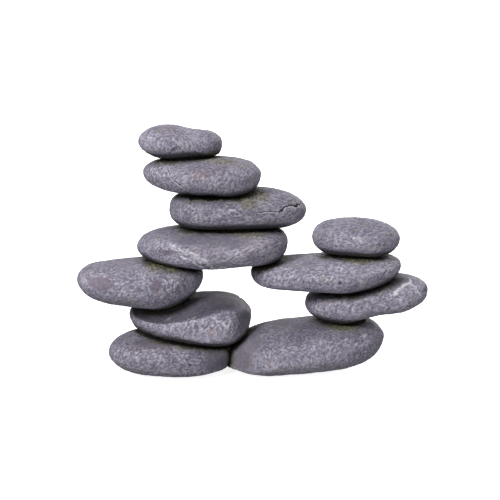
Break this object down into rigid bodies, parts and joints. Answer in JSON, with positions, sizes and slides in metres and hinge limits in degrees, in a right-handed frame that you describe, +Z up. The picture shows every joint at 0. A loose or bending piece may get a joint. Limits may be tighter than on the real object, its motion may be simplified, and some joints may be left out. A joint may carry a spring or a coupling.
{
  "type": "stacked basalt stone arch",
  "caption": "Free-standing arch of rounded basalt spa stones, bedded in dark mortar, for display or a stone-massage table.",
  "frame": {"origin": "on the ground, under the middle of the arch's bounding box", "axes": "+X to the right along the arch, seen from the front; -Y to the front; +Z up"},
  "size_m": [0.2106, 0.0639, 0.149],
  "materials": {
    "basalt_light": "worn smooth, fine pale mottling, matt",
    "basalt_mid": "worn smooth, fine pale mottling, matt",
    "basalt_dark": "worn smooth, darker top face, matt",
    "bedding_mortar": "dark olive-black mortar, rough",
    "dowel_steel": "plain drawn rod"
  },
  "bodies": {
    "root": {"left_cap_stone": "basalt_light", "left_neck_stone": "basalt_mid", "left_shoulder_stone": "basalt_mid", "bridge_stone": "basalt_mid", "left_wing_stone": "basalt_light", "left_knee_stone": "basalt_dark", "left_foot_stone": "basalt_dark", "right_cap_stone": "basalt_light", "right_span_stone": "basalt_light", "right_wing_stone": "basalt_mid", "right_foot_stone": "basalt_dark", "left_cap_bed": "bedding_mortar", "left_neck_bed": "bedding_mortar", "left_shoulder_bed": "bedding_mortar", "bridge_left_bed": "bedding_mortar", "bridge_right_bed": "bedding_mortar", "left_wing_bed": "bedding_mortar", "left_knee_bed": "bedding_mortar", "knee_to_foot_bed": "bedding_mortar", "feet_bed": "bedding_mortar", "right_cap_bed": "bedding_mortar", "right_span_bed": "bedding_mortar", "right_wing_bed": "bedding_mortar", "left_cap_dowel": "dowel_steel", "left_neck_dowel": "dowel_steel", "left_shoulder_dowel": "dowel_steel", "bridge_left_dowel": "dowel_steel", "bridge_right_dowel": "dowel_steel", "left_wing_dowel": "dowel_steel", "left_knee_dowel": "dowel_steel", "feet_dowel": "dowel_steel", "right_cap_dowel": "dowel_steel", "right_span_dowel": "dowel_steel", "right_wing_dowel": "dowel_steel"}
  },
  "joints": []
}
